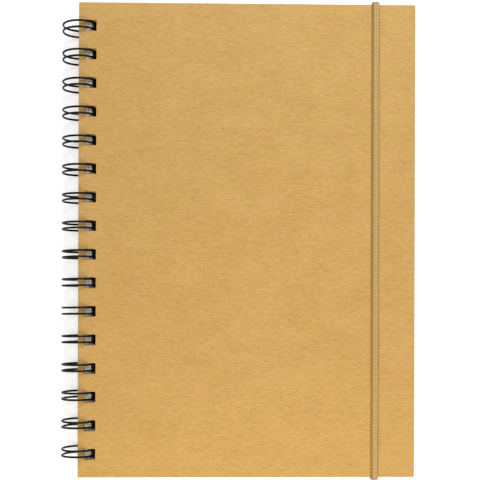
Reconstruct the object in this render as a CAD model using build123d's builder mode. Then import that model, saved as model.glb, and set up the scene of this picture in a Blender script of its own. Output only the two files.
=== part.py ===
"""Notebook bound with double wire loops, with board covers and an elastic band closure.

The book lies on its back: +Z up, +Y towards the head, the spine along the -X side.
Sizes are in millimetres. The origin is under the middle of the whole object, on the table.
"""
from build123d import *
import math
import os

os.makedirs("parts", exist_ok=True)

# ---- Pages and covers -------------------------------------------------------------------
page_width = 148.0
page_length = 210.0
page_block_thickness = 6.7
cover_thickness = 1.5
cover_side_overhang = 1.0  # past the pages at the spine and at the fore edge
cover_end_overhang = 0.5  # past the pages at the head and at the tail
page_top_gap = 0.3  # between the first page and the front cover

# ---- Binding wire and its holes ---------------------------------------------------------
loop_pitch = 12.7
loop_end_margin = 9.0  # least distance from a loop to the end of the page
wire_diameter = 0.95
wire_pair_spacing = 2.8  # between the two wires of one loop
wire_hole_clearance = 0.525  # beside each wire of a loop in its hole
hole_corner_radius = 0.3
hole_spine_margin = 3.0  # from the cover's spine edge to the holes
page_hole_clearance = 0.15  # from the wire to the spine side of the page holes
loop_slack = 4.6  # the loops stand this much taller than the closed book
loop_sag = 0.15  # the book hangs this far below the middle of the loops
wire_seam_clearance = 0.175  # above and below the wire in the seam, where the loops close
wire_bend_radius = 1.0
wire_end_length = 2.2  # of the cut ends past the outer loops
loop_tip_drop = 0.2  # the rounded tips stop this far below the base wire

# ---- Elastic band -----------------------------------------------------------------------
band_width = 3.3
band_thickness = 1.3
band_seat_gap = 0.1  # between the band and the edges that it wraps
band_fore_edge_distance = 17.9
band_hole_end_distance = 14.0
band_hole_clearance = 0.35
band_front_bend_inside = 0.2  # inner radius where the band turns over the front cover
band_back_bend_inside = 0.55  # inner radius where it turns under the back cover

# ---- Metal clips on the band's ends -----------------------------------------------------
clip_thickness = 0.7
clip_wall = 0.95  # beside the slot
clip_end_length = 2.75  # past each end of the slot
clip_slot_clearance = 0.1

# ---- Heights that follow from the sizes -------------------------------------------------
seam_gap = wire_diameter + 2 * wire_seam_clearance
stack_thickness = 2 * cover_thickness + page_top_gap + page_block_thickness + seam_gap
loop_diameter = stack_thickness + loop_slack
loop_outer_radius = loop_diameter / 2
wire_radius = wire_diameter / 2
loop_radius = loop_outer_radius - wire_radius  # to the wire's centre line
loop_z = loop_outer_radius

front_cover_top = loop_z + stack_thickness / 2 - loop_sag
front_cover_bottom = front_cover_top - cover_thickness
page_top = front_cover_bottom - page_top_gap
page_bottom = page_top - page_block_thickness
back_cover_top = page_bottom - seam_gap
back_cover_bottom = back_cover_top - cover_thickness

# ---- Places that follow from the sizes --------------------------------------------------
# The loops are set so that the wire crosses the middle of the front cover's holes. The pages
# lie against the fore edge side of the loops, with the wire at the spine side of their holes.
# The object, from the loops to the fore edge, is centred on the origin.
cover_width = page_width + 2 * cover_side_overhang
cover_length = page_length + 2 * cover_end_overhang
loop_count = int((page_length - 2 * loop_end_margin) / loop_pitch) + 1
hole_size = wire_pair_spacing + wire_diameter + 2 * wire_hole_clearance
cover_rise = front_cover_top - cover_thickness / 2 - loop_z
wire_reach = math.sqrt(loop_radius**2 - cover_rise**2)
loop_outside_spine = wire_reach - hole_spine_margin - hole_size / 2
spine_x = -(cover_width - loop_outside_spine - loop_outer_radius) / 2
loop_x = spine_x - loop_outside_spine
cover_x = spine_x + cover_width / 2
hole_x = spine_x + hole_spine_margin + hole_size / 2
page_rise = page_top - loop_z
page_wire_reach = math.sqrt(loop_radius**2 - page_rise**2)
page_wire_half_width = wire_radius * loop_radius / page_wire_reach
page_hole_side = loop_x + page_wire_reach - page_wire_half_width - page_hole_clearance
page_hole_x = page_hole_side + hole_size / 2

band_x = spine_x + cover_width - band_fore_edge_distance
band_front_z = front_cover_top + band_seat_gap + band_thickness / 2
band_back_z = band_thickness / 2
band_end_y = cover_length / 2 + band_seat_gap + band_thickness / 2
band_hole_y = cover_length / 2 - band_hole_end_distance
band_hole_diameter = band_width + 2 * band_hole_clearance
band_front_bend_radius = band_thickness / 2 + band_front_bend_inside
band_back_bend_radius = band_thickness / 2 + band_back_bend_inside

clip_slot_length = band_width + 2 * clip_slot_clearance
clip_slot_width = band_thickness + 2 * clip_slot_clearance


# ---- Front cover ------------------------------------------------------------------------
with BuildPart() as front_cover:
    with BuildSketch(Plane.XY.offset(front_cover_bottom)):
        with Locations((cover_x, 0)):
            Rectangle(cover_width, cover_length)
        with Locations((hole_x, 0)):
            with GridLocations(0, loop_pitch, 1, loop_count):
                RectangleRounded(hole_size, hole_size, hole_corner_radius, mode=Mode.SUBTRACT)
    extrude(amount=cover_thickness)

front_cover.part.label = "front_cover"
export_step(front_cover.part, "parts/front_cover.step")


# ---- Back cover, with two holes for the ends of the elastic band ------------------------
with BuildPart() as back_cover:
    with BuildSketch(Plane.XY.offset(back_cover_bottom)):
        with Locations((cover_x, 0)):
            Rectangle(cover_width, cover_length)
        with Locations((hole_x, 0)):
            with GridLocations(0, loop_pitch, 1, loop_count):
                RectangleRounded(hole_size, hole_size, hole_corner_radius, mode=Mode.SUBTRACT)
        with Locations((band_x, band_hole_y), (band_x, -band_hole_y)):
            Circle(band_hole_diameter / 2, mode=Mode.SUBTRACT)
    extrude(amount=cover_thickness)

back_cover.part.label = "back_cover"
export_step(back_cover.part, "parts/back_cover.step")


# ---- Page block: all the sheets as one solid --------------------------------------------
with BuildPart() as page_block:
    with BuildSketch(Plane.XY.offset(page_bottom)):
        with Locations((cover_x, 0)):
            Rectangle(page_width, page_length)
        with Locations((page_hole_x, 0)):
            with GridLocations(0, loop_pitch, 1, loop_count):
                RectangleRounded(hole_size, hole_size, hole_corner_radius, mode=Mode.SUBTRACT)
    extrude(amount=page_block_thickness)

page_block.part.label = "page_block"
export_step(page_block.part, "parts/page_block.step")


# ---- Wire binding: one wire, bent into a comb of double loops and closed ----------------
# A loop's place is given by its angle about the loops' axis: 0 points at the fore edge and
# 90 points up. Each finger starts at the base wire in the seam, goes up through the pages
# and the front cover, over the top, and round underneath to its tip in the seam again.
base_wire_z = page_bottom - seam_gap / 2 - loop_z
tip_radius = wire_pair_spacing / 2
base_reach = math.hypot(loop_radius, wire_bend_radius)
base_angle = math.asin(base_wire_z / base_reach) + math.atan(wire_bend_radius / loop_radius)
tip_reach = math.hypot(loop_radius, tip_radius)
tip_z = base_wire_z - loop_tip_drop
tip_angle = math.asin(tip_z / tip_reach) - math.atan(tip_radius / loop_radius) + 2 * math.pi
loop_middle_angle = (base_angle + tip_angle) / 2


def loop_point(angle, y, along=0.0):
    """A point on the loops' centre line, moved along its tangent there."""
    x = loop_x + loop_radius * math.cos(angle) - along * math.sin(angle)
    z = loop_z + loop_radius * math.sin(angle) + along * math.cos(angle)
    return (x, y, z)


def bend(side, y, outward):
    """The bend between a loop's wire at y and the base wire, which leaves it outward."""
    start = loop_point(base_angle, y)
    lift = wire_bend_radius * (1 - math.sqrt(0.5))
    middle = loop_point(base_angle, y + outward * lift, -wire_bend_radius * math.sqrt(0.5))
    end = loop_point(base_angle, y + outward * wire_bend_radius, -wire_bend_radius)
    if side == "in":
        return ThreePointArc(end, middle, start)
    return ThreePointArc(start, middle, end)


loop_ys = [(i - (loop_count - 1) / 2) * loop_pitch for i in range(loop_count)]
base_start_y = loop_ys[0] - tip_radius - wire_bend_radius - wire_end_length
base_end_y = loop_ys[-1] + tip_radius + wire_bend_radius + wire_end_length

with BuildPart() as wire_binding:
    with BuildLine() as wire_path:
        last_y = base_start_y
        for loop_y in loop_ys:
            first_y = loop_y - tip_radius
            second_y = loop_y + tip_radius
            Line(
                loop_point(base_angle, last_y, -wire_bend_radius),
                loop_point(base_angle, first_y - wire_bend_radius, -wire_bend_radius),
            )
            bend("in", first_y, -1)
            ThreePointArc(
                loop_point(base_angle, first_y),
                loop_point(loop_middle_angle, first_y),
                loop_point(tip_angle, first_y),
            )
            ThreePointArc(
                loop_point(tip_angle, first_y),
                loop_point(tip_angle, loop_y, tip_radius),
                loop_point(tip_angle, second_y),
            )
            ThreePointArc(
                loop_point(tip_angle, second_y),
                loop_point(loop_middle_angle, second_y),
                loop_point(base_angle, second_y),
            )
            bend("out", second_y, 1)
            last_y = second_y + wire_bend_radius
        Line(
            loop_point(base_angle, last_y, -wire_bend_radius),
            loop_point(base_angle, base_end_y, -wire_bend_radius),
        )
    with BuildSketch(Plane(origin=wire_path.line @ 0, z_dir=wire_path.line % 0)):
        Circle(wire_radius)
    sweep(path=wire_path.line)

wire_binding.part.label = "wire_binding"
export_step(wire_binding.part, "parts/wire_binding.step")


# ---- Metal clips: a slotted bar that stops each end of the band inside the back cover ---
def build_clip(name, y):
    """One clip on the inside of the back cover, over the band's hole."""
    with BuildPart() as clip:
        with BuildSketch(Plane.XY.offset(back_cover_top)):
            with Locations((band_x, y)):
                SlotOverall(clip_slot_length + 2 * clip_end_length, clip_slot_width + 2 * clip_wall)
                SlotOverall(clip_slot_length, clip_slot_width, mode=Mode.SUBTRACT)
        extrude(amount=clip_thickness)
    clip.part.label = name
    export_step(clip.part, f"parts/{name}.step")
    return clip


build_clip("elastic_clip_head", band_hole_y)
build_clip("elastic_clip_tail", -band_hole_y)


# ---- Elastic band: over the front cover, round head and tail, up through the back cover -
with BuildPart() as elastic_band:
    with BuildLine() as band_path:
        FilletPolyline(
            (band_x, band_hole_y, back_cover_top + clip_thickness),
            (band_x, band_hole_y, band_back_z),
            (band_x, band_end_y, band_back_z),
            (band_x, band_end_y, band_front_z),
            (band_x, -band_end_y, band_front_z),
            (band_x, -band_end_y, band_back_z),
            (band_x, -band_hole_y, band_back_z),
            (band_x, -band_hole_y, back_cover_top + clip_thickness),
            radius=[
                band_back_bend_radius,
                band_back_bend_radius,
                band_front_bend_radius,
                band_front_bend_radius,
                band_back_bend_radius,
                band_back_bend_radius,
            ],
        )
    with BuildSketch(Plane(origin=band_path.line @ 0, x_dir=(1, 0, 0), z_dir=band_path.line % 0)):
        SlotOverall(band_width, band_thickness)
    sweep(path=band_path.line)

elastic_band.part.label = "elastic_band"
export_step(elastic_band.part, "parts/elastic_band.step")
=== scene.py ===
"""The looks of a wire-bound notebook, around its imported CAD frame. Metres, +Z up.

Each piece of the book has its own function, and so has each material. Places come from the
boxes of the CAD nodes, and the sizes below are the ones that a box can't give.
"""
import math
import random

import bmesh
import bpy
import numpy as np
from mathutils import Matrix, Vector


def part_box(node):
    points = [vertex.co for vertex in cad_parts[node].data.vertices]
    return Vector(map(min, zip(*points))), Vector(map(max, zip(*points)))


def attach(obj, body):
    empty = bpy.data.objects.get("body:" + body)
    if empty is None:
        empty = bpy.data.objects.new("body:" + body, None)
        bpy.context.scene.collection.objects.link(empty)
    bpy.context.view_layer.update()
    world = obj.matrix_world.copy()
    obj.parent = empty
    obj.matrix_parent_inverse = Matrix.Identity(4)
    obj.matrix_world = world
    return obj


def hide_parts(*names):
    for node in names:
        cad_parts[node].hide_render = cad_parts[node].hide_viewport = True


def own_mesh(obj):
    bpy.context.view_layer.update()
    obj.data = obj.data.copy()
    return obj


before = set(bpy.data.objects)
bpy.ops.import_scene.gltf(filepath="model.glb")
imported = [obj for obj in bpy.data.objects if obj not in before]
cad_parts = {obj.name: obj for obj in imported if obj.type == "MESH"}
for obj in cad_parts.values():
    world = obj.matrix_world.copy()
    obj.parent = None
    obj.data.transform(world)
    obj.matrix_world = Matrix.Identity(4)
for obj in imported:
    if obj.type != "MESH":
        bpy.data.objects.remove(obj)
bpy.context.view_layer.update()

MM = 0.001

# ---- Sizes that the CAD boxes don't give ------------------------------------------------
# Holes and covers
HOLE_SIZE = 4.8 * MM
HOLE_CORNER_RADIUS = 0.3 * MM
COVER_HOLE_MARGIN = 3.0 * MM  # from a cover's spine edge to its holes
PAGE_HOLE_MARGIN = 4.427 * MM  # from the pages' spine edge to theirs
COVER_CORNER_RADIUS = 0.5 * MM
COVER_EDGE_ROUNDING = 0.12 * MM

# Pages
SHEET_COUNT = 67
SHEET_SHARE = 0.86  # of the height of one sheet in the block that is paper and not air
SHEET_PLAY = 0.12 * MM  # the sheets are this much smaller, and may lie this far out of line
SHEET_LEAN = 0.15 * MM  # of the lowest sheet towards the tail

# Binding wire
LOOP_COUNT = 16
LOOP_PITCH = 12.7 * MM
WIRE_RADIUS = 0.475 * MM
WIRE_PAIR_SPACING = 2.8 * MM
WIRE_BEND_RADIUS = 1.0 * MM
WIRE_SIDES = 14
LOOP_TIP_DROP = 0.2 * MM  # the rounded tips stop this far below the base line of the wire
LOOP_LEAN = 0.045  # of the loops towards the head, in metres of Y for each metre of height
LOOP_TWIST = 0.018  # about Z at mid-length, in metres of Y for each metre of X
LOOP_TWIST_GROWTH = 0.15  # what is added to that twist for each metre towards the head
LOOP_OFFSET = 0.33 * MM  # from the middle of the front cover's holes, along Y
LOOP_LEAN_PLAY = 0.003  # either way, from loop to loop, as the next two are
LOOP_TWIST_PLAY = 0.002
LOOP_OFFSET_PLAY = 0.02 * MM
LOOP_LEAST_SPREAD = -0.20 * MM  # of each wire from the middle of its pair, at the loop's top
LOOP_MOST_SPREAD = 0.06 * MM

# Elastic band and its clips
BAND_THICKNESS = 1.3 * MM
BAND_HOLE_DIAMETER = 4.0 * MM
BAND_FRONT_BEND = 0.85 * MM
BAND_BACK_BEND = 1.2 * MM
BAND_RIB_PERIOD = 1.44 * MM
BAND_RIB_HEIGHT = 0.06 * MM
BAND_STEPS_PER_RIB = 12
BAND_SIDES = 18
CLIP_SLOT = (3.5 * MM, 1.5 * MM)
CLIP_EDGE_ROUNDING = 0.1 * MM

# Fineness
CIRCLE_STEPS = 32
WELD_DISTANCE = 1e-7
NOISE_ROUGHNESS = 0.55

# Floor, room and camera
FLOOR_HALF_SIZE = 2.0
FLOOR_GLOW_REACH = (0.18, 0.60)  # from the floor's middle: the glow rises between these
FLOOR_GLOW = (0.56, 1.0)  # its strength at the first and at the second
ROOM_LIGHT = 0.16  # of the room on the book, where it is seen as 1.0
CAMERA_LENS = 62.5
CAMERA_SHIFT_Y = 0.0625
CAMERA_PLACE = (-0.0059, -0.0132, 0.3845)
CAMERA_TURN = (0.0, -1.07, 0.19)  # in degrees

# ---- Colours, as linear light -----------------------------------------------------------
BOARD_LIGHT = (0.755, 0.455, 0.162, 1)
BOARD_DARK = (0.525, 0.290, 0.068, 1)
BOARD_PALE = (0.78, 0.52, 0.22, 1)
BOARD_ROSY = (0.68, 0.340, 0.128, 1)
BOARD_YELLOW = (0.63, 0.385, 0.085, 1)
BOARD_FIBRE = (0.36, 0.19, 0.06, 1)
BOARD_SPECK = (0.16, 0.085, 0.035, 1)
BOARD_EDGE = (0.46, 0.265, 0.095, 1)
PAPER = (0.84, 0.82, 0.77, 1)
PAPER_EDGE = (0.73, 0.71, 0.66, 1)
WIRE_BLACK = (0.004, 0.004, 0.004, 1)
WIRE_WORN = (0.007, 0.006, 0.006, 1)
BAND_LIGHT = (0.71, 0.460, 0.183, 1)
BAND_DARK = (0.36, 0.215, 0.070, 1)
# Painted shade for the elastic band's sides: the next colour is for its right side, the one after
# it for its left side.
BAND_PAINTED_SHADE_RIGHT = (0.44, 0.255, 0.095, 1)
BAND_PAINTED_SHADE_LEFT = (0.40, 0.250, 0.062, 1)
STEEL = (0.60, 0.59, 0.57, 1)
STEEL_DARK = (0.48, 0.47, 0.45, 1)
FLOOR_GREY = (0.80, 0.80, 0.80, 1)


# ---- Small helpers ----------------------------------------------------------------------
def add_node(tree, kind, inputs=None, **settings):
    """A new node, with its settings and with its inputs linked or given a value."""
    item = tree.nodes.new(kind)
    for key, value in settings.items():
        setattr(item, key, value)
    for key, value in (inputs or {}).items():
        if isinstance(value, bpy.types.NodeSocket):
            tree.links.new(value, item.inputs[key])
        else:
            item.inputs[key].default_value = value
    return item


def new_material(name, **shader_values):
    """A material with one Principled shader, and its tree and shader for more nodes.

    The values are for the shader's inputs, whose names are written with _ for a space.
    """
    material = bpy.data.materials.new(name)
    material.use_nodes = True
    tree = material.node_tree
    shader = tree.nodes["Principled BSDF"]
    for key, value in shader_values.items():
        shader.inputs[key.replace("_", " ")].default_value = value
    return material, tree, shader


def object_noise(tree, scale, detail, turn=0.0, place=(0, 0, 0)):
    """Noise over the object's own coordinates, with a scale per axis and a turn about Z."""
    coords = add_node(tree, "ShaderNodeTexCoord")
    mapping = add_node(
        tree,
        "ShaderNodeMapping",
        {"Vector": coords.outputs["Object"], "Rotation": (0, 0, turn), "Location": place},
    )
    stretch = add_node(
        tree,
        "ShaderNodeVectorMath",
        {0: mapping.outputs["Vector"], 1: scale},
        operation="MULTIPLY",
    )
    inputs = {
        "Vector": stretch.outputs[0],
        "Scale": 1.0,
        "Detail": detail,
        "Roughness": NOISE_ROUGHNESS,
    }
    return add_node(tree, "ShaderNodeTexNoise", inputs).outputs["Fac"]


def remap(tree, value, low, high, to_low=0.0, to_high=1.0):
    """value from low..high to to_low..to_high, held at its ends."""
    item = add_node(
        tree,
        "ShaderNodeMapRange",
        {"Value": value, "From Min": low, "From Max": high, "To Min": to_low, "To Max": to_high},
    )
    return item.outputs["Result"]


def mix_colour(tree, factor, first, second):
    """first at factor 0 and second at factor 1."""
    sockets = {0: factor, 6: first, 7: second}
    item = add_node(tree, "ShaderNodeMix", sockets, data_type="RGBA")
    return item.outputs[2]


def math_node(tree, operation, first, second=0.0):
    """The result of one Math node."""
    item = add_node(tree, "ShaderNodeMath", {0: first, 1: second}, operation=operation)
    return item.outputs[0]


def add_up(tree, *terms):
    """The sum of values, each times its own factor."""
    total = 0.0
    for value, factor in terms:
        total = math_node(tree, "ADD", total, math_node(tree, "MULTIPLY", value, factor))
    return total


def cut_faces(tree, low, high):
    """1 on a leaf's cut edges and 0 on its flat sides, by the Z of the object's own normal."""
    geometry = add_node(tree, "ShaderNodeNewGeometry")
    vector = add_node(
        tree,
        "ShaderNodeVectorTransform",
        {"Vector": geometry.outputs["Normal"]},
        vector_type="NORMAL",
        convert_from="WORLD",
        convert_to="OBJECT",
    )
    axes = add_node(tree, "ShaderNodeSeparateXYZ", {"Vector": vector.outputs["Vector"]})
    return remap(tree, math_node(tree, "ABSOLUTE", axes.outputs["Z"]), low, high, 1.0, 0.0)


def seen_directly(tree):
    """1 for camera, glossy and transmission rays, and 0 for the rays that light the book."""
    path = add_node(tree, "ShaderNodeLightPath")
    seen = math_node(tree, "MAXIMUM", path.outputs["Is Camera Ray"], path.outputs["Is Glossy Ray"])
    return math_node(tree, "MAXIMUM", seen, path.outputs["Is Transmission Ray"])


def bump(tree, shader, height, distance, strength):
    """Surface relief from a height, where a height of 1 stands distance above 0."""
    item = add_node(
        tree, "ShaderNodeBump", {"Height": height, "Distance": distance, "Strength": strength}
    )
    tree.links.new(item.outputs["Normal"], shader.inputs["Normal"])


# ---- Materials --------------------------------------------------------------------------
def board_material():
    """Uncoated brown board: mottled, with fine fibres along X, and layered cut edges."""
    material, tree, shader = new_material(
        "cover_board", Roughness=0.82, Specular_IOR_Level=0.25
    )

    # Tone: broad clouds, streaks along X and fine fibres.
    cloud = remap(tree, object_noise(tree, (60, 90, 60), 4.0), 0.32, 0.68)
    streak = remap(tree, object_noise(tree, (330, 1600, 400), 3.0, place=(3, 1, 0)), 0.30, 0.70)
    fine = remap(tree, object_noise(tree, (1100, 3000, 900), 2.0, place=(0, 5, 0)), 0.30, 0.70)
    tone = add_up(tree, (cloud, 0.18), (streak, 0.44), (fine, 0.38))
    colour = mix_colour(tree, tone, BOARD_DARK, BOARD_LIGHT)

    # Faint patches of a redder and of a yellower board.
    patch = object_noise(tree, (150, 150, 150), 2.0, place=(8, 3, 0))
    colour = mix_colour(tree, remap(tree, patch, 0.52, 0.68, 0.0, 0.24), colour, BOARD_ROSY)
    colour = mix_colour(tree, remap(tree, patch, 0.48, 0.32, 0.0, 0.30), colour, BOARD_YELLOW)

    # Single fibres in three directions, some dark and some pale.
    for turn, place in ((0.35, (7, 2, 0)), (-0.6, (1, 9, 0)), (1.2, (4, 4, 0))):
        fibres = object_noise(tree, (420, 3400, 700), 1.0, turn=turn, place=place)
        colour = mix_colour(tree, remap(tree, fibres, 0.66, 0.74, 0.0, 0.22), colour, BOARD_FIBRE)
        colour = mix_colour(tree, remap(tree, fibres, 0.34, 0.26, 0.0, 0.35), colour, BOARD_PALE)

    # Dark specks, on a few of the cells only.
    coords = add_node(tree, "ShaderNodeTexCoord")
    specks = add_node(
        tree,
        "ShaderNodeTexVoronoi",
        {"Vector": coords.outputs["Object"], "Scale": 150.0, "Randomness": 1.0},
    )
    chosen = add_node(tree, "ShaderNodeSeparateColor", {"Color": specks.outputs["Color"]})
    near = remap(tree, specks.outputs["Distance"], 0.030, 0.055, 1.0, 0.0)
    rare = remap(tree, chosen.outputs[0], 0.80, 0.86, 0.0, 0.75)
    colour = mix_colour(tree, math_node(tree, "MULTIPLY", near, rare), colour, BOARD_SPECK)

    # The cut edges show the layers of the board.
    layers = remap(tree, object_noise(tree, (180, 180, 5200), 3.0), 0.35, 0.65)
    edge_colour = mix_colour(tree, layers, BOARD_EDGE, BOARD_DARK)
    colour = mix_colour(tree, cut_faces(tree, 0.35, 0.75), colour, edge_colour)
    tree.links.new(colour, shader.inputs["Base Color"])

    grain = object_noise(tree, (2400, 4200, 3000), 2.0)
    relief = add_up(tree, (streak, 0.8), (fine, 0.7), (grain, 0.8))
    bump(tree, shader, relief, 0.03 * MM, 0.55)
    return material


def paper_material():
    """Off-white uncoated paper, whose cut edges read a little darker."""
    material, tree, shader = new_material("page_paper", Roughness=0.75, Specular_IOR_Level=0.3)
    cloud = object_noise(tree, (400, 400, 400), 4.0)
    face = mix_colour(tree, remap(tree, cloud, 0.3, 0.7, 0.0, 0.12), PAPER, PAPER_EDGE)
    colour = mix_colour(tree, cut_faces(tree, 0.3, 0.7), face, PAPER_EDGE)
    tree.links.new(colour, shader.inputs["Base Color"])
    bump(tree, shader, object_noise(tree, (5000, 5000, 5000), 2.0), 0.01 * MM, 0.5)
    return material


def wire_material():
    """Black nylon coat on the wire: smooth, with a faint orange peel."""
    material, tree, shader = new_material("binding_wire", Specular_IOR_Level=0.09)
    peel = object_noise(tree, (1800, 1800, 1800), 2.0)
    tint = mix_colour(tree, remap(tree, peel, 0.3, 0.7), WIRE_BLACK, WIRE_WORN)
    tree.links.new(tint, shader.inputs["Base Color"])
    tree.links.new(remap(tree, peel, 0.3, 0.7, 0.22, 0.34), shader.inputs["Roughness"])
    bump(tree, shader, peel, 0.01 * MM, 0.3)
    return material


def band_material():
    """Woven elastic: cross ribs along its length, a groove along its middle, and painted shade on
    its two sides.
    """
    material, tree, shader = new_material(
        "elastic", Roughness=0.78, Specular_IOR_Level=0.3, Sheen_Weight=0.15
    )
    # The map goes from -1 to 1 across the band, and counts the ribs along it.
    weave = add_node(tree, "ShaderNodeUVMap", uv_map="weave")
    axes = add_node(tree, "ShaderNodeSeparateXYZ", {"Vector": weave.outputs["UV"]})
    across, along = axes.outputs["X"], axes.outputs["Y"]
    rib_turn = math_node(tree, "MULTIPLY", along, 2 * math.pi)
    rib = remap(tree, math_node(tree, "COSINE", rib_turn), -0.8, 0.8)
    fuzz = object_noise(tree, (2500, 2500, 2500), 3.0)
    from_groove = math_node(tree, "ABSOLUTE", math_node(tree, "SUBTRACT", across, 0.06))
    ridge = remap(tree, from_groove, 0.04, 0.18)
    thread = add_up(tree, (rib, 0.34), (ridge, 0.36), (fuzz, 0.3))
    colour = mix_colour(tree, thread, BAND_DARK, BAND_LIGHT)
    # Painted shade: the colour turns towards olive at the band's left side and towards brown at
    # its right side, in place of the shade on its sides.
    painted_shade_left = remap(tree, across, -0.30, -0.52)
    painted_shade_right = remap(tree, across, 0.50, 0.82)
    colour = mix_colour(tree, painted_shade_left, colour, BAND_PAINTED_SHADE_LEFT)
    colour = mix_colour(tree, painted_shade_right, colour, BAND_PAINTED_SHADE_RIGHT)
    tree.links.new(colour, shader.inputs["Base Color"])
    bump(tree, shader, thread, 0.05 * MM, 0.8)
    return material


def steel_material():
    """Plain rolled steel, brushed along X."""
    material, tree, shader = new_material("clip_metal", Metallic=1.0)
    brush = object_noise(tree, (500, 9000, 9000), 3.0)
    colour = mix_colour(tree, brush, STEEL, STEEL_DARK)
    tree.links.new(colour, shader.inputs["Base Color"])
    tree.links.new(remap(tree, brush, 0.3, 0.7, 0.28, 0.44), shader.inputs["Roughness"])
    bump(tree, shader, brush, 0.01 * MM, 0.4)
    return material


def floor_material():
    """A pale floor that reads white around the book, and keeps the book's shadow."""
    material, tree, shader = new_material(
        "floor",
        Base_Color=FLOOR_GREY,
        Roughness=0.9,
        Specular_IOR_Level=0.0,
        Emission_Color=(1, 1, 1, 1),
    )

    # There is no glow under the book, so that its holes stay dark.
    low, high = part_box("back_cover")
    coords = add_node(tree, "ShaderNodeTexCoord")
    axes = add_node(tree, "ShaderNodeSeparateXYZ", {"Vector": coords.outputs["Object"]})
    away = []
    for axis, start, end in (("X", low.x, high.x), ("Y", low.y, high.y)):
        offset = math_node(tree, "SUBTRACT", axes.outputs[axis], (start + end) / 2)
        offset = math_node(tree, "ABSOLUTE", offset)
        from_edge = math_node(tree, "SUBTRACT", offset, (end - start) / 2)
        away.append(remap(tree, from_edge, -2 * MM, 1 * MM))
    outside = math_node(tree, "MAXIMUM", away[0], away[1])
    distance = add_node(
        tree, "ShaderNodeVectorMath", {0: coords.outputs["Object"]}, operation="LENGTH"
    )
    level = remap(tree, distance.outputs["Value"], *FLOOR_GLOW_REACH, *FLOOR_GLOW)
    glow = math_node(tree, "MULTIPLY", seen_directly(tree), outside)
    glow = math_node(tree, "MULTIPLY", glow, level)
    tree.links.new(glow, shader.inputs["Emission Strength"])
    return material


# ---- Mesh tools -------------------------------------------------------------------------
def link_object(name, data):
    """A new object that shows data in the scene."""
    item = bpy.data.objects.new(name, data)
    bpy.context.collection.objects.link(item)
    return item


def mesh_object(name, vertices, faces, smooth=True):
    """A new object from its vertices and faces."""
    mesh = bpy.data.meshes.new(name)
    mesh.from_pydata([tuple(v) for v in vertices], [], faces)
    mesh.validate()
    mesh.update()
    mesh.polygons.foreach_set("use_smooth", [smooth] * len(mesh.polygons))
    return link_object(name, mesh)


def finish_piece(piece, body, slot, material, *replaced):
    """Gives a piece its material and its body, and hides the CAD nodes that it stands for."""
    piece.data.materials.clear()
    piece.data.materials.append(material)
    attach(piece, body)
    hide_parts(*replaced)


def rounded_rectangle(cx, cy, width, height, radius, steps=3):
    """The corners of a rectangle with rounded corners, counter-clockwise."""
    points = []
    for corner, (sx, sy) in enumerate(((1, 1), (-1, 1), (-1, -1), (1, -1))):
        for step in range(steps + 1):
            angle = (corner + step / steps) * math.pi / 2
            points.append((
                cx + sx * (width / 2 - radius) + radius * math.cos(angle),
                cy + sy * (height / 2 - radius) + radius * math.sin(angle),
            ))
    return points


def circle_outline(cx, cy, radius):
    """The corners of a circle, counter-clockwise."""
    turns = [2 * math.pi * i / CIRCLE_STEPS for i in range(CIRCLE_STEPS)]
    return [(cx + radius * math.cos(a), cy + radius * math.sin(a)) for a in turns]


def plate_mesh(name, outlines, bottom, top, bevel, bevel_steps=2):
    """A flat plate from its outline and its holes, with its edges rounded by bevel."""
    curve = bpy.data.curves.new(name, "CURVE")
    curve.dimensions = "2D"
    curve.fill_mode = "BOTH"
    curve.extrude = (top - bottom) / 2 - bevel
    curve.bevel_depth = bevel
    curve.bevel_resolution = bevel_steps
    curve.offset = -bevel
    for outline in outlines:
        spline = curve.splines.new("POLY")
        spline.points.add(len(outline) - 1)
        for point, (x, y) in zip(spline.points, outline):
            point.co = (x, y, 0, 1)
        spline.use_cyclic_u = True
    holder = link_object(name + "_curve", curve)
    bpy.context.view_layer.update()
    mesh = bpy.data.meshes.new_from_object(holder)
    bpy.data.objects.remove(holder)
    bpy.data.curves.remove(curve)
    mesh.name = name
    mesh.transform(Matrix.Translation((0, 0, (bottom + top) / 2)))
    return mesh


def weld(mesh):
    """Joins the vertices of a mesh that lie together, and points its faces outward."""
    work = bmesh.new()
    work.from_mesh(mesh)
    bmesh.ops.remove_doubles(work, verts=work.verts, dist=WELD_DISTANCE)
    bmesh.ops.recalc_face_normals(work, faces=work.faces)
    work.to_mesh(mesh)
    work.free()


def loop_ys():
    """The places of the loops along the spine, from the tail to the head."""
    return [(i - (LOOP_COUNT - 1) / 2) * LOOP_PITCH for i in range(LOOP_COUNT)]


def binding_holes(side_x):
    """The outlines of a leaf's square binding holes, whose spine side is at side_x."""
    hole_x = side_x + HOLE_SIZE / 2
    return [
        rounded_rectangle(hole_x, y, HOLE_SIZE, HOLE_SIZE, HOLE_CORNER_RADIUS)
        for y in loop_ys()
    ]


# ---- Covers -----------------------------------------------------------------------------
def build_cover(node, body, extra_holes=()):
    """One cover board: cut edges softened a little, with its binding holes."""
    low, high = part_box(node)
    centre = (low + high) / 2
    edge = rounded_rectangle(
        centre.x, centre.y, high.x - low.x, high.y - low.y, COVER_CORNER_RADIUS
    )
    outlines = [edge] + binding_holes(low.x + COVER_HOLE_MARGIN) + list(extra_holes)
    mesh = plate_mesh(node + "_board", outlines, low.z, high.z, COVER_EDGE_ROUNDING)
    weld(mesh)
    piece = link_object(node + "_board", mesh)
    finish_piece(piece, body, "cover_board", BOARD_MATERIAL, node)


def build_covers():
    """Both covers. The back one has a round hole for each end of the band."""
    build_cover("front_cover", "front")
    holes = []
    for clip in ("elastic_clip_head", "elastic_clip_tail"):
        low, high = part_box(clip)
        centre = (low + high) / 2
        holes.append(circle_outline(centre.x, centre.y, BAND_HOLE_DIAMETER / 2))
    build_cover("back_cover", "back", holes)


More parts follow.
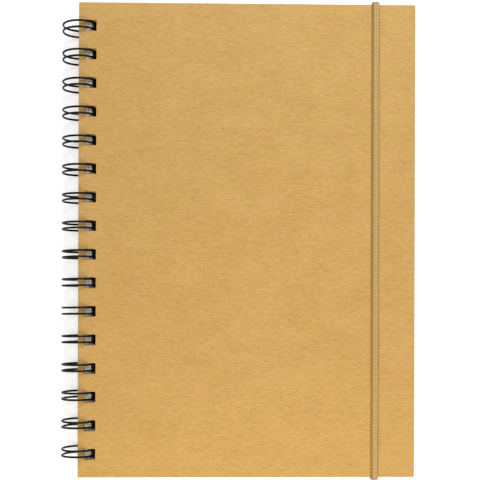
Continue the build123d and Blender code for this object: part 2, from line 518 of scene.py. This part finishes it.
# ---- Pages ------------------------------------------------------------------------------
def build_pages():
    """The block as separate sheets, a hair out of line, leaning a little with the loops."""
    low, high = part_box("page_block")
    rng = random.Random(7)
    step = (high.z - low.z) / SHEET_COUNT
    edge = [
        (low.x + SHEET_PLAY, low.y + SHEET_PLAY),
        (high.x - SHEET_PLAY, low.y + SHEET_PLAY),
        (high.x - SHEET_PLAY, high.y - SHEET_PLAY),
        (low.x + SHEET_PLAY, high.y - SHEET_PLAY),
    ]
    outlines = [edge] + binding_holes(low.x + PAGE_HOLE_MARGIN)
    sheet = plate_mesh("sheet", outlines, 0, step * SHEET_SHARE, 0.0, 0)
    weld(sheet)
    count = len(sheet.vertices)
    base = np.empty(count * 3)
    sheet.vertices.foreach_get("co", base)
    base = base.reshape(-1, 3)
    faces = [tuple(p.vertices) for p in sheet.polygons]
    vertices, all_faces = [], []
    for i in range(SHEET_COUNT):
        lean = -SHEET_LEAN * (1 - i / SHEET_COUNT)
        shift_x = rng.uniform(-1, 1) * SHEET_PLAY
        shift_y = lean + rng.uniform(-1, 1) * SHEET_PLAY
        vertices.append(base + np.array((shift_x, shift_y, low.z + i * step)))
        all_faces += [tuple(v + i * count for v in face) for face in faces]
    piece = mesh_object("page_sheets", np.vstack(vertices), all_faces, smooth=False)
    finish_piece(piece, "book_block", "page_paper", PAPER_MATERIAL, "page_block")


# ---- Tubes ------------------------------------------------------------------------------
def tube_faces(rings, sides, other_way=False):
    """The faces of a tube with capped ends, whose vertices come ring by ring.

    With other_way the rings run the other way round, and the faces still look outward.
    """
    faces = []
    for i in range(rings - 1):
        for k in range(sides):
            a, b = i * sides + k, i * sides + (k + 1) % sides
            if other_way:
                faces.append((a, a + sides, b + sides, b))
            else:
                faces.append((a, b, b + sides, a + sides))
    last = (rings - 1) * sides
    start, end = list(range(sides)), list(range(last, last + sides))
    if other_way:
        end.reverse()
    else:
        start.reverse()
    return faces + [start, end]


def direction_at(points, i):
    """The direction of a list of points at its point i."""
    before, after = points[max(i - 1, 0)], points[min(i + 1, len(points) - 1)]
    return (after - before).normalized()


# ---- Binding wire -----------------------------------------------------------------------
def sweep_round(name, path, radius, sides):
    """A closed round tube along a list of points, with capped ends."""
    path = [Vector(p) for p in path]
    tangents = [direction_at(path, i) for i in range(len(path))]
    side = tangents[0].orthogonal().normalized()
    vertices = []
    for point, tangent in zip(path, tangents):
        side = (side - tangent * side.dot(tangent)).normalized()
        other = tangent.cross(side)
        for k in range(sides):
            angle = 2 * math.pi * k / sides
            across, up = radius * math.cos(angle), radius * math.sin(angle)
            vertices.append(point + side * across + other * up)
    return mesh_object(name, vertices, tube_faces(len(path), sides))


def build_wire():
    """One wire: a base line in the seam, and a double finger closed round the leaves."""
    low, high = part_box("wire_binding")
    page_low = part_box("page_block")[0]
    back_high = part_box("back_cover")[1]
    outer = (high.z - low.z) / 2
    radius = outer - WIRE_RADIUS
    axis_x, axis_z = low.x + outer, (low.z + high.z) / 2
    base_z = (page_low.z + back_high.z) / 2 - axis_z
    half = WIRE_PAIR_SPACING / 2
    base_reach = math.hypot(radius, WIRE_BEND_RADIUS)
    base_angle = math.asin(base_z / base_reach) + math.atan(WIRE_BEND_RADIUS / radius)
    tip_reach = math.hypot(radius, half)
    tip_angle = math.asin((base_z - LOOP_TIP_DROP) / tip_reach) - math.atan(half / radius)
    tip_angle += 2 * math.pi
    rng = random.Random(3)

    # Where the wire crosses the front cover, from the middle of the loops: it stays put there.
    cover_low, cover_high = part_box("front_cover")
    pivot_z = (cover_low.z + cover_high.z) / 2 - axis_z
    pivot_x = cover_low.x + COVER_HOLE_MARGIN + HOLE_SIZE / 2 - axis_x

    def place(angle, y, along=0.0, lean=0.0, twist=0.0):
        """A point of the wire: round the loop by angle, and then on along its tangent."""
        x = radius * math.cos(angle) - along * math.sin(angle)
        z = radius * math.sin(angle) + along * math.cos(angle)
        y += lean * (z - pivot_z) + twist * (x - pivot_x)
        return (axis_x + x, y, axis_z + z)

    def wire_loop(loop_y, lean, twist, spread, side_shift):
        """The points of one loop: out of the base line, round, back round, and into it."""
        arc_steps, bend_steps, tip_steps = 64, 5, 10

        def at(angle, offset, along=0.0):
            """A point of this loop, offset along the spine from its middle."""
            opening = 1 + spread / half * max(0.0, math.sin(angle))
            fade = 1.0 if along >= 0 else 1 + along / WIRE_BEND_RADIUS
            y = loop_y + side_shift * fade + offset * opening
            return place(angle, y, along, lean * fade, twist * fade)

        def bend(turn, way):
            """A point of the bend between the base line and the wire on one side."""
            offset = way * (half + WIRE_BEND_RADIUS * (1 - math.cos(turn)))
            return at(base_angle, offset, -WIRE_BEND_RADIUS * math.sin(turn))

        points = []
        for i in range(bend_steps + 1):
            points.append(bend(math.pi / 2 * (1 - i / bend_steps), -1))
        for i in range(1, arc_steps + 1):
            points.append(at(base_angle + (tip_angle - base_angle) * i / arc_steps, -half))
        for i in range(1, tip_steps + 1):
            turn = math.pi * i / tip_steps
            points.append(at(tip_angle, -half * math.cos(turn), half * math.sin(turn)))
        for i in range(1, arc_steps + 1):
            points.append(at(tip_angle + (base_angle - tip_angle) * i / arc_steps, half))
        for i in range(1, bend_steps + 1):
            points.append(bend(math.pi / 2 * i / bend_steps, 1))
        return points

    path = [place(base_angle, low.y, -WIRE_BEND_RADIUS)]
    for loop_y in loop_ys():
        lean = LOOP_LEAN + rng.uniform(-LOOP_LEAN_PLAY, LOOP_LEAN_PLAY)
        twist = LOOP_TWIST + LOOP_TWIST_GROWTH * loop_y
        twist += rng.uniform(-LOOP_TWIST_PLAY, LOOP_TWIST_PLAY)
        spread = rng.uniform(LOOP_LEAST_SPREAD, LOOP_MOST_SPREAD)
        side_shift = LOOP_OFFSET + rng.uniform(-LOOP_OFFSET_PLAY, LOOP_OFFSET_PLAY)
        path += wire_loop(loop_y, lean, twist, spread, side_shift)
    path.append(place(base_angle, high.y, -WIRE_BEND_RADIUS))
    piece = sweep_round("binding_wire", path, WIRE_RADIUS, WIRE_SIDES)
    finish_piece(piece, "book_block", "binding_wire", WIRE_MATERIAL, "wire_binding")


# ---- Elastic band -----------------------------------------------------------------------
def rounded_route(corners, radii, step):
    """Points a step apart, each with its distance along the route, in the YZ plane.

    The route is straight runs between the corners, joined by arcs of the given radii.
    """
    arc_steps = 12
    dense = [Vector(corners[0])]
    for i in range(1, len(corners) - 1):
        before, corner, after = (Vector(corners[k]) for k in (i - 1, i, i + 1))
        into, out = (corner - before).normalized(), (after - corner).normalized()
        radius = radii[i - 1]
        start = corner - into * radius
        centre = start + out * radius
        for k in range(arc_steps + 1):
            angle = math.pi / 2 * k / arc_steps
            back, ahead = radius * math.cos(angle), radius * math.sin(angle)
            dense.append(centre - out * back + into * ahead)
    dense.append(Vector(corners[-1]))
    lengths = [0.0]
    for a, b in zip(dense, dense[1:]):
        lengths.append(lengths[-1] + (b - a).length)
    count = int(lengths[-1] / step)
    points, k = [], 0
    for i in range(count + 1):
        s = lengths[-1] * i / count
        while k < len(dense) - 2 and lengths[k + 1] < s:
            k += 1
        t = (s - lengths[k]) / max(lengths[k + 1] - lengths[k], 1e-12)
        points.append((s, dense[k].lerp(dense[k + 1], min(max(t, 0.0), 1.0))))
    return points


def build_band():
    """The elastic closure: an oval woven band with cross ribs.

    It is carried by the back cover's body.
    """
    low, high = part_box("elastic_band")
    head_low, head_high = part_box("elastic_clip_head")
    half_width, half_thick = (high.x - low.x) / 2, BAND_THICKNESS / 2
    x = (low.x + high.x) / 2
    hole_y, end_top = (head_low.y + head_high.y) / 2, head_high.z
    end_y, front_z, back_z = high.y - half_thick, high.z - half_thick, low.z + half_thick
    corners = [
        (x, hole_y, end_top), (x, hole_y, back_z), (x, end_y, back_z), (x, end_y, front_z),
        (x, -end_y, front_z), (x, -end_y, back_z), (x, -hole_y, back_z), (x, -hole_y, end_top),
    ]
    radii = [BAND_BACK_BEND] * 2 + [BAND_FRONT_BEND] * 2 + [BAND_BACK_BEND] * 2
    route = rounded_route(corners, radii, BAND_RIB_PERIOD / BAND_STEPS_PER_RIB)
    sides = BAND_SIDES
    vertices, uvs = [], []
    points = [point for _, point in route]
    width_axis = Vector((1, 0, 0))
    for i, (s, point) in enumerate(route):
        out = direction_at(points, i).cross(width_axis)
        rib = BAND_RIB_HEIGHT * (0.5 + 0.5 * math.cos(2 * math.pi * s / BAND_RIB_PERIOD))
        shrink = BAND_RIB_HEIGHT - rib
        for k in range(sides):
            angle = 2 * math.pi * k / sides
            u, v = math.cos(angle), math.sin(angle)
            across = width_axis * (half_width - shrink) * u
            vertices.append(point + across + out * (half_thick - shrink) * v)
            uvs.append((u, s / BAND_RIB_PERIOD))
    faces = tube_faces(len(route), sides, other_way=True)
    piece = mesh_object("elastic_closure", vertices, faces)
    layer = piece.data.uv_layers.new(name="weave")
    for loop in piece.data.loops:
        layer.data[loop.index].uv = uvs[loop.vertex_index]
    finish_piece(piece, "back", "elastic", BAND_MATERIAL, "elastic_band")
    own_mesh(piece)


# ---- Metal clips ------------------------------------------------------------------------
def build_clips():
    """A slotted steel bar on each end of the band."""
    for node in ("elastic_clip_head", "elastic_clip_tail"):
        low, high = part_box(node)
        cx, cy = (low.x + high.x) / 2, (low.y + high.y) / 2
        width, height = high.x - low.x, high.y - low.y
        outline = rounded_rectangle(cx, cy, width, height, height / 2, 8)
        slot_hole = rounded_rectangle(cx, cy, *CLIP_SLOT, CLIP_SLOT[1] / 2, 6)
        outlines = [outline, slot_hole]
        mesh = plate_mesh(node + "_bar", outlines, low.z, high.z, CLIP_EDGE_ROUNDING)
        weld(mesh)
        piece = link_object(node + "_bar", mesh)
        finish_piece(piece, "back", "clip_metal", STEEL_MATERIAL, node)


# ---- Floor, lights and camera -----------------------------------------------------------
def build_floor():
    """A square floor under the book."""
    half = FLOOR_HALF_SIZE
    corners = [(-half, -half, 0), (half, -half, 0), (half, half, 0), (-half, half, 0)]
    floor = mesh_object("floor", corners, [(0, 1, 2, 3)])
    floor.data.materials.append(floor_material())


def area_light(name, place, target, size, power, colour):
    """A square soft box at place that faces target. The camera doesn't see it."""
    lamp = bpy.data.lights.new(name, "AREA")
    lamp.shape = "SQUARE"
    lamp.size = size
    lamp.energy = power
    lamp.color = colour
    light = link_object(name, lamp)
    light.location = place
    light.rotation_euler = (Vector(target) - Vector(place)).to_track_quat("-Z", "Y").to_euler()
    light.visible_camera = False


def build_lights():
    """Soft boxes beyond the head and the tail, a weak fill on the left, and a pale room."""
    area_light(
        "head_box",
        place=(0.12, 0.36, 0.37),
        target=(0, 0.02, 0),
        size=0.35,
        power=2.18,
        colour=(0.83, 0.90, 1.0),
    )
    area_light(
        "tail_box",
        place=(0.03, -0.31, 0.27),
        target=(0, -0.03, 0),
        size=0.30,
        power=1.06,
        colour=(1.0, 0.945, 0.77),
    )
    area_light(
        "fill",
        place=(-0.7, -0.1, 0.8),
        target=(0, 0, 0),
        size=0.70,
        power=1.2,
        colour=(1.0, 1.0, 1.0),
    )
    world = bpy.data.worlds.new("room")
    bpy.context.scene.world = world
    world.use_nodes = True
    tree = world.node_tree
    tree.nodes.clear()
    strength = remap(tree, seen_directly(tree), 0.0, 1.0, ROOM_LIGHT, 1.0)
    background = add_node(
        tree, "ShaderNodeBackground", {"Color": (1, 1, 1, 1), "Strength": strength}
    )
    add_node(tree, "ShaderNodeOutputWorld", {"Surface": background.outputs[0]})


def build_camera():
    """Almost straight down on the front cover, a little off its middle."""
    camera = bpy.data.cameras.new("camera")
    camera.lens = CAMERA_LENS
    camera.sensor_width = 36.0
    camera.shift_y = CAMERA_SHIFT_Y
    camera.clip_start = 0.01
    eye = link_object("camera", camera)
    eye.location = CAMERA_PLACE
    eye.rotation_euler = [math.radians(angle) for angle in CAMERA_TURN]
    bpy.context.scene.camera = eye


BOARD_MATERIAL = board_material()
PAPER_MATERIAL = paper_material()
WIRE_MATERIAL = wire_material()
BAND_MATERIAL = band_material()
STEEL_MATERIAL = steel_material()

build_camera()
build_covers()
build_pages()
build_wire()
build_band()
build_clips()
build_floor()
build_lights()

bpy.context.scene.view_settings.view_transform = "Standard"
